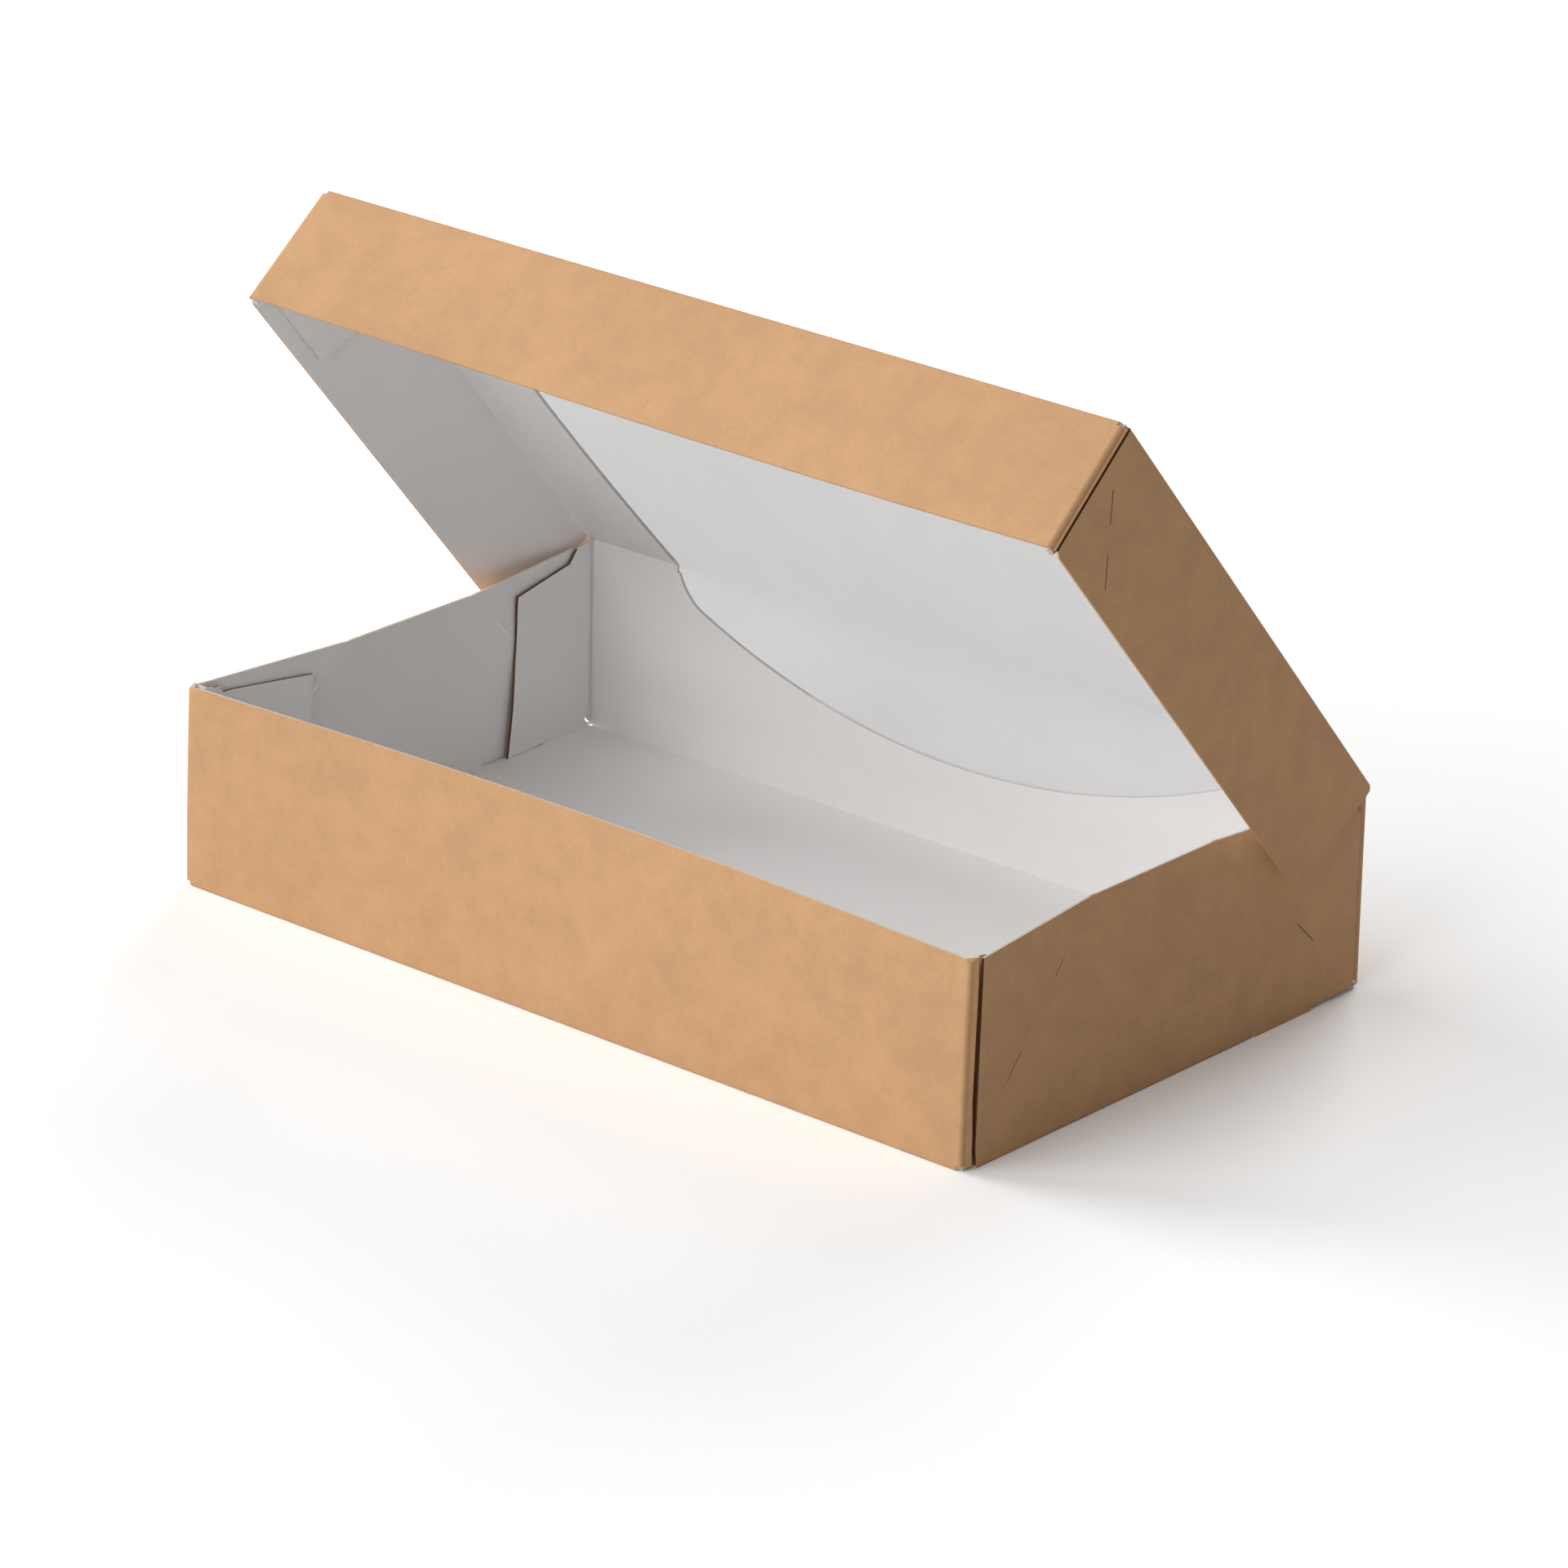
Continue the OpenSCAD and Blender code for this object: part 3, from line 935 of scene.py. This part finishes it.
def film_material(name, base, alpha):
    """Clear film with a slight haze, soft waves, and streaks in its colour that are painted reflections."""
    material, tree, shader = new_material(name)
    # Streaks stretched along the film, darker and lighter: painted reflections
    layers = [(0.012, 2, (1, 0.4, 1), 0.02), (0.06, 3, (1, 0.3, 1), 0.012)]
    colour = scaled(tree, srgb(base), varied(tree, layers))
    tree.links.new(colour, shader.inputs["Base Color"])
    shader.inputs["Roughness"].default_value = 0.35
    shader.inputs["Specular IOR Level"].default_value = 0.15
    shader.inputs["Alpha"].default_value = alpha
    bump = node(tree, "Bump", {"Height": blank_noise(tree, 0.05, 2), "Strength": 0.15, "Distance": 0.002})
    tree.links.new(bump.outputs["Normal"], shader.inputs["Normal"])
    return material


# Stage

floor_size = 6.0
floor_level = 0.8
floor_seen = 1.16
world_level = 0.137
lamp_size = 1.5
aim = Vector((0, 0, 0.05))

# Name, place and power of each lamp
lamps = [
    ("key", (-1.2, -2.2, 1.6), 22),
    ("front", (0.2, -2.6, 1.2), 21),
    ("top", (0, -0.5, 2.4), 8.5),
    ("left", (-2.6, -0.6, 1.0), 60),
    ("back", (-0.8, 2.4, 1.6), 40),
]


def seen_directly(tree):
    """1 for what the camera sees, also by reflection or through clear things."""
    path = node(tree, "LightPath")
    seen = math_node(tree, "MAXIMUM", path.outputs["Is Camera Ray"], path.outputs["Is Glossy Ray"])
    return math_node(tree, "MAXIMUM", seen, path.outputs["Is Transmission Ray"])


def stage_material():
    """Pale floor that reads white to the camera and keeps its shadows."""
    material, tree, shader = new_material("pale_floor")
    tree.nodes.remove(shader)
    levels = {"Value": seen_directly(tree), "To Min": floor_level, "To Max": floor_seen}
    surface = node(tree, "BsdfDiffuse", {"Color": node(tree, "MapRange", levels).outputs["Result"]})
    tree.links.new(surface.outputs[0], tree.nodes["Material Output"].inputs["Surface"])
    return material


def add_stage():
    """A wide pale floor."""
    mesh = bpy.data.meshes.new("floor")
    r = floor_size
    mesh.from_pydata([(-r, -r, 0), (r, -r, 0), (r, r, 0), (-r, r, 0)], [], [(0, 1, 2, 3)])
    floor = bpy.data.objects.new("floor", mesh)
    bpy.context.scene.collection.objects.link(floor)
    mesh.materials.append(stage_material())


def add_world():
    """An even light all round that the camera sees as white."""
    world = bpy.data.worlds.new("studio")
    bpy.context.scene.world = world
    world.use_nodes = True
    tree = world.node_tree
    levels = {"Value": seen_directly(tree), "To Min": world_level, "To Max": 1.0}
    strength = node(tree, "MapRange", levels)
    background = tree.nodes["Background"]
    background.inputs["Color"].default_value = (1, 1, 1, 1)
    tree.links.new(strength.outputs["Result"], background.inputs["Strength"])


def add_lamp(name, place, power):
    """A square area lamp at a place, aimed at the box."""
    data = bpy.data.lights.new(name, "AREA")
    data.shape = "SQUARE"
    data.size = lamp_size
    data.energy = power
    lamp = bpy.data.objects.new(name, data)
    lamp.location = place
    lamp.rotation_euler = (aim - Vector(place)).to_track_quat("-Z", "Y").to_euler()
    bpy.context.scene.collection.objects.link(lamp)


def add_camera():
    """The photograph's camera, fitted to the box's corners."""
    azimuth, elevation, roll = (math.radians(a) for a in (40.733, 21.727, 1.086))
    place = Vector((0.9036, -1.0441, 0.5817))
    focal_px, image_px, sensor = 9467, 1920, 36
    level = math.cos(elevation)
    back = Vector((math.sin(azimuth) * level, -math.cos(azimuth) * level, math.sin(elevation)))
    right = (-back).cross(Vector((0, 0, 1))).normalized()
    up = back.cross(right)
    across = right * math.cos(roll) + up * math.sin(roll)
    upward = up * math.cos(roll) - right * math.sin(roll)
    data = bpy.data.cameras.new("camera")
    data.sensor_fit = "HORIZONTAL"
    data.sensor_width = sensor
    data.lens = focal_px / image_px * sensor
    camera = bpy.data.objects.new("camera", data)
    turn = Matrix((across, upward, back)).transposed().to_4x4()
    camera.matrix_world = Matrix.Translation(place) @ turn
    bpy.context.scene.collection.objects.link(camera)
    bpy.context.scene.camera = camera


# Putting it together

EVEN = (1, 1, 1)
FIBRES = (1, 5, 1)

# Painted highlights along folds on the liner, broken into dashes: ends, width and strength of each mark
foot_fold = bottom_fold_y + end_arc / 2
left_corner_fold = -corner_x - side_arc / 2
left_lip_fold = -lid_fold_x - end_arc / 2
liner_fold_highlights = [
    ((-film_half, foot_fold), (film_half, foot_fold), 0.3, 0.9),
    ((left_corner_fold, end_t(fold_or)), (left_corner_fold, end_t(rim_h)), 0.2, 0.6),
    ((left_lip_fold, hinge_t), (left_lip_fold, hinge_t + lid_len), 0.16, 0.6),
]

# Layers of unevenness: scale, detail, stretch and share of change
kraft_layers = [
    (0.05, 4, EVEN, 0.035),
    (0.16, 4, EVEN, 0.035),
    (0.7, 5, EVEN, 0.02),
    (1.3, 5, FIBRES, 0.02),
]
liner_layers = [(0.03, 3, EVEN, 0.01), (1.4, 5, EVEN, 0.006)]
edge_layers = [(0.8, 4, EVEN, 0.05)]
board = [
    board_material("kraft_board", "cea176", kraft_layers, 0.75, 0.2),
    board_material("board_liner", "f0eeed", liner_layers, 0.8, 0.08, liner_fold_highlights),
    board_material("board_edge", "ddd0bd", edge_layers, 0.85, 0.2),
    # Dark window edge: painted shade
    board_material("window_edge", "6f665c", edge_layers, 0.85, 0.2),
    board_material("shaded_edge", "66462d", edge_layers, 0.85, 0.2),
]

tray = thickened(folded("tray_board", tray_sheet(), tray_place), board_t, board, LINER, CUT_EDGE)
edge_materials(tray, tray_edge)
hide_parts("tray")
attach(tray, "tray")

lid = thickened(folded("lid_board", lid_sheet(), lid_place, hinge_t), board_t, board, LINER, CUT_EDGE)
edge_materials(lid, lid_edge, hinge_t)
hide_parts("lid")
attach(lid, "lid")

for side, side_name in ((-1, "left"), (1, "right")):
    strip = folded("hinge_fold_" + side_name, hinge_sheet(side), hinge_place)
    strip = thickened(strip, board_t, board, LINER, CUT_EDGE)
    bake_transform(strip)

clear = film_material("window_film", "d4d4d4", 0.42)
glued = film_material("glued_film", "d4d4d4", 0.004)
flat_film = film_sheet()
film = folded("clear_film", flat_film, film_place)
film.data.polygons.foreach_set("material_index", [1 - mark for mark in flat_film[2]])
film = thickened(film, film_t, [clear, glued], inside=0, edges=0, crease_angle=80)
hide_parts("back_window_film", "lid_window_film")
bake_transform(film)

add_stage()
add_world()
for lamp_name, lamp_place, lamp_power in lamps:
    add_lamp(lamp_name, lamp_place, lamp_power)
add_camera()

scene = bpy.context.scene
scene.view_settings.view_transform = "Standard"
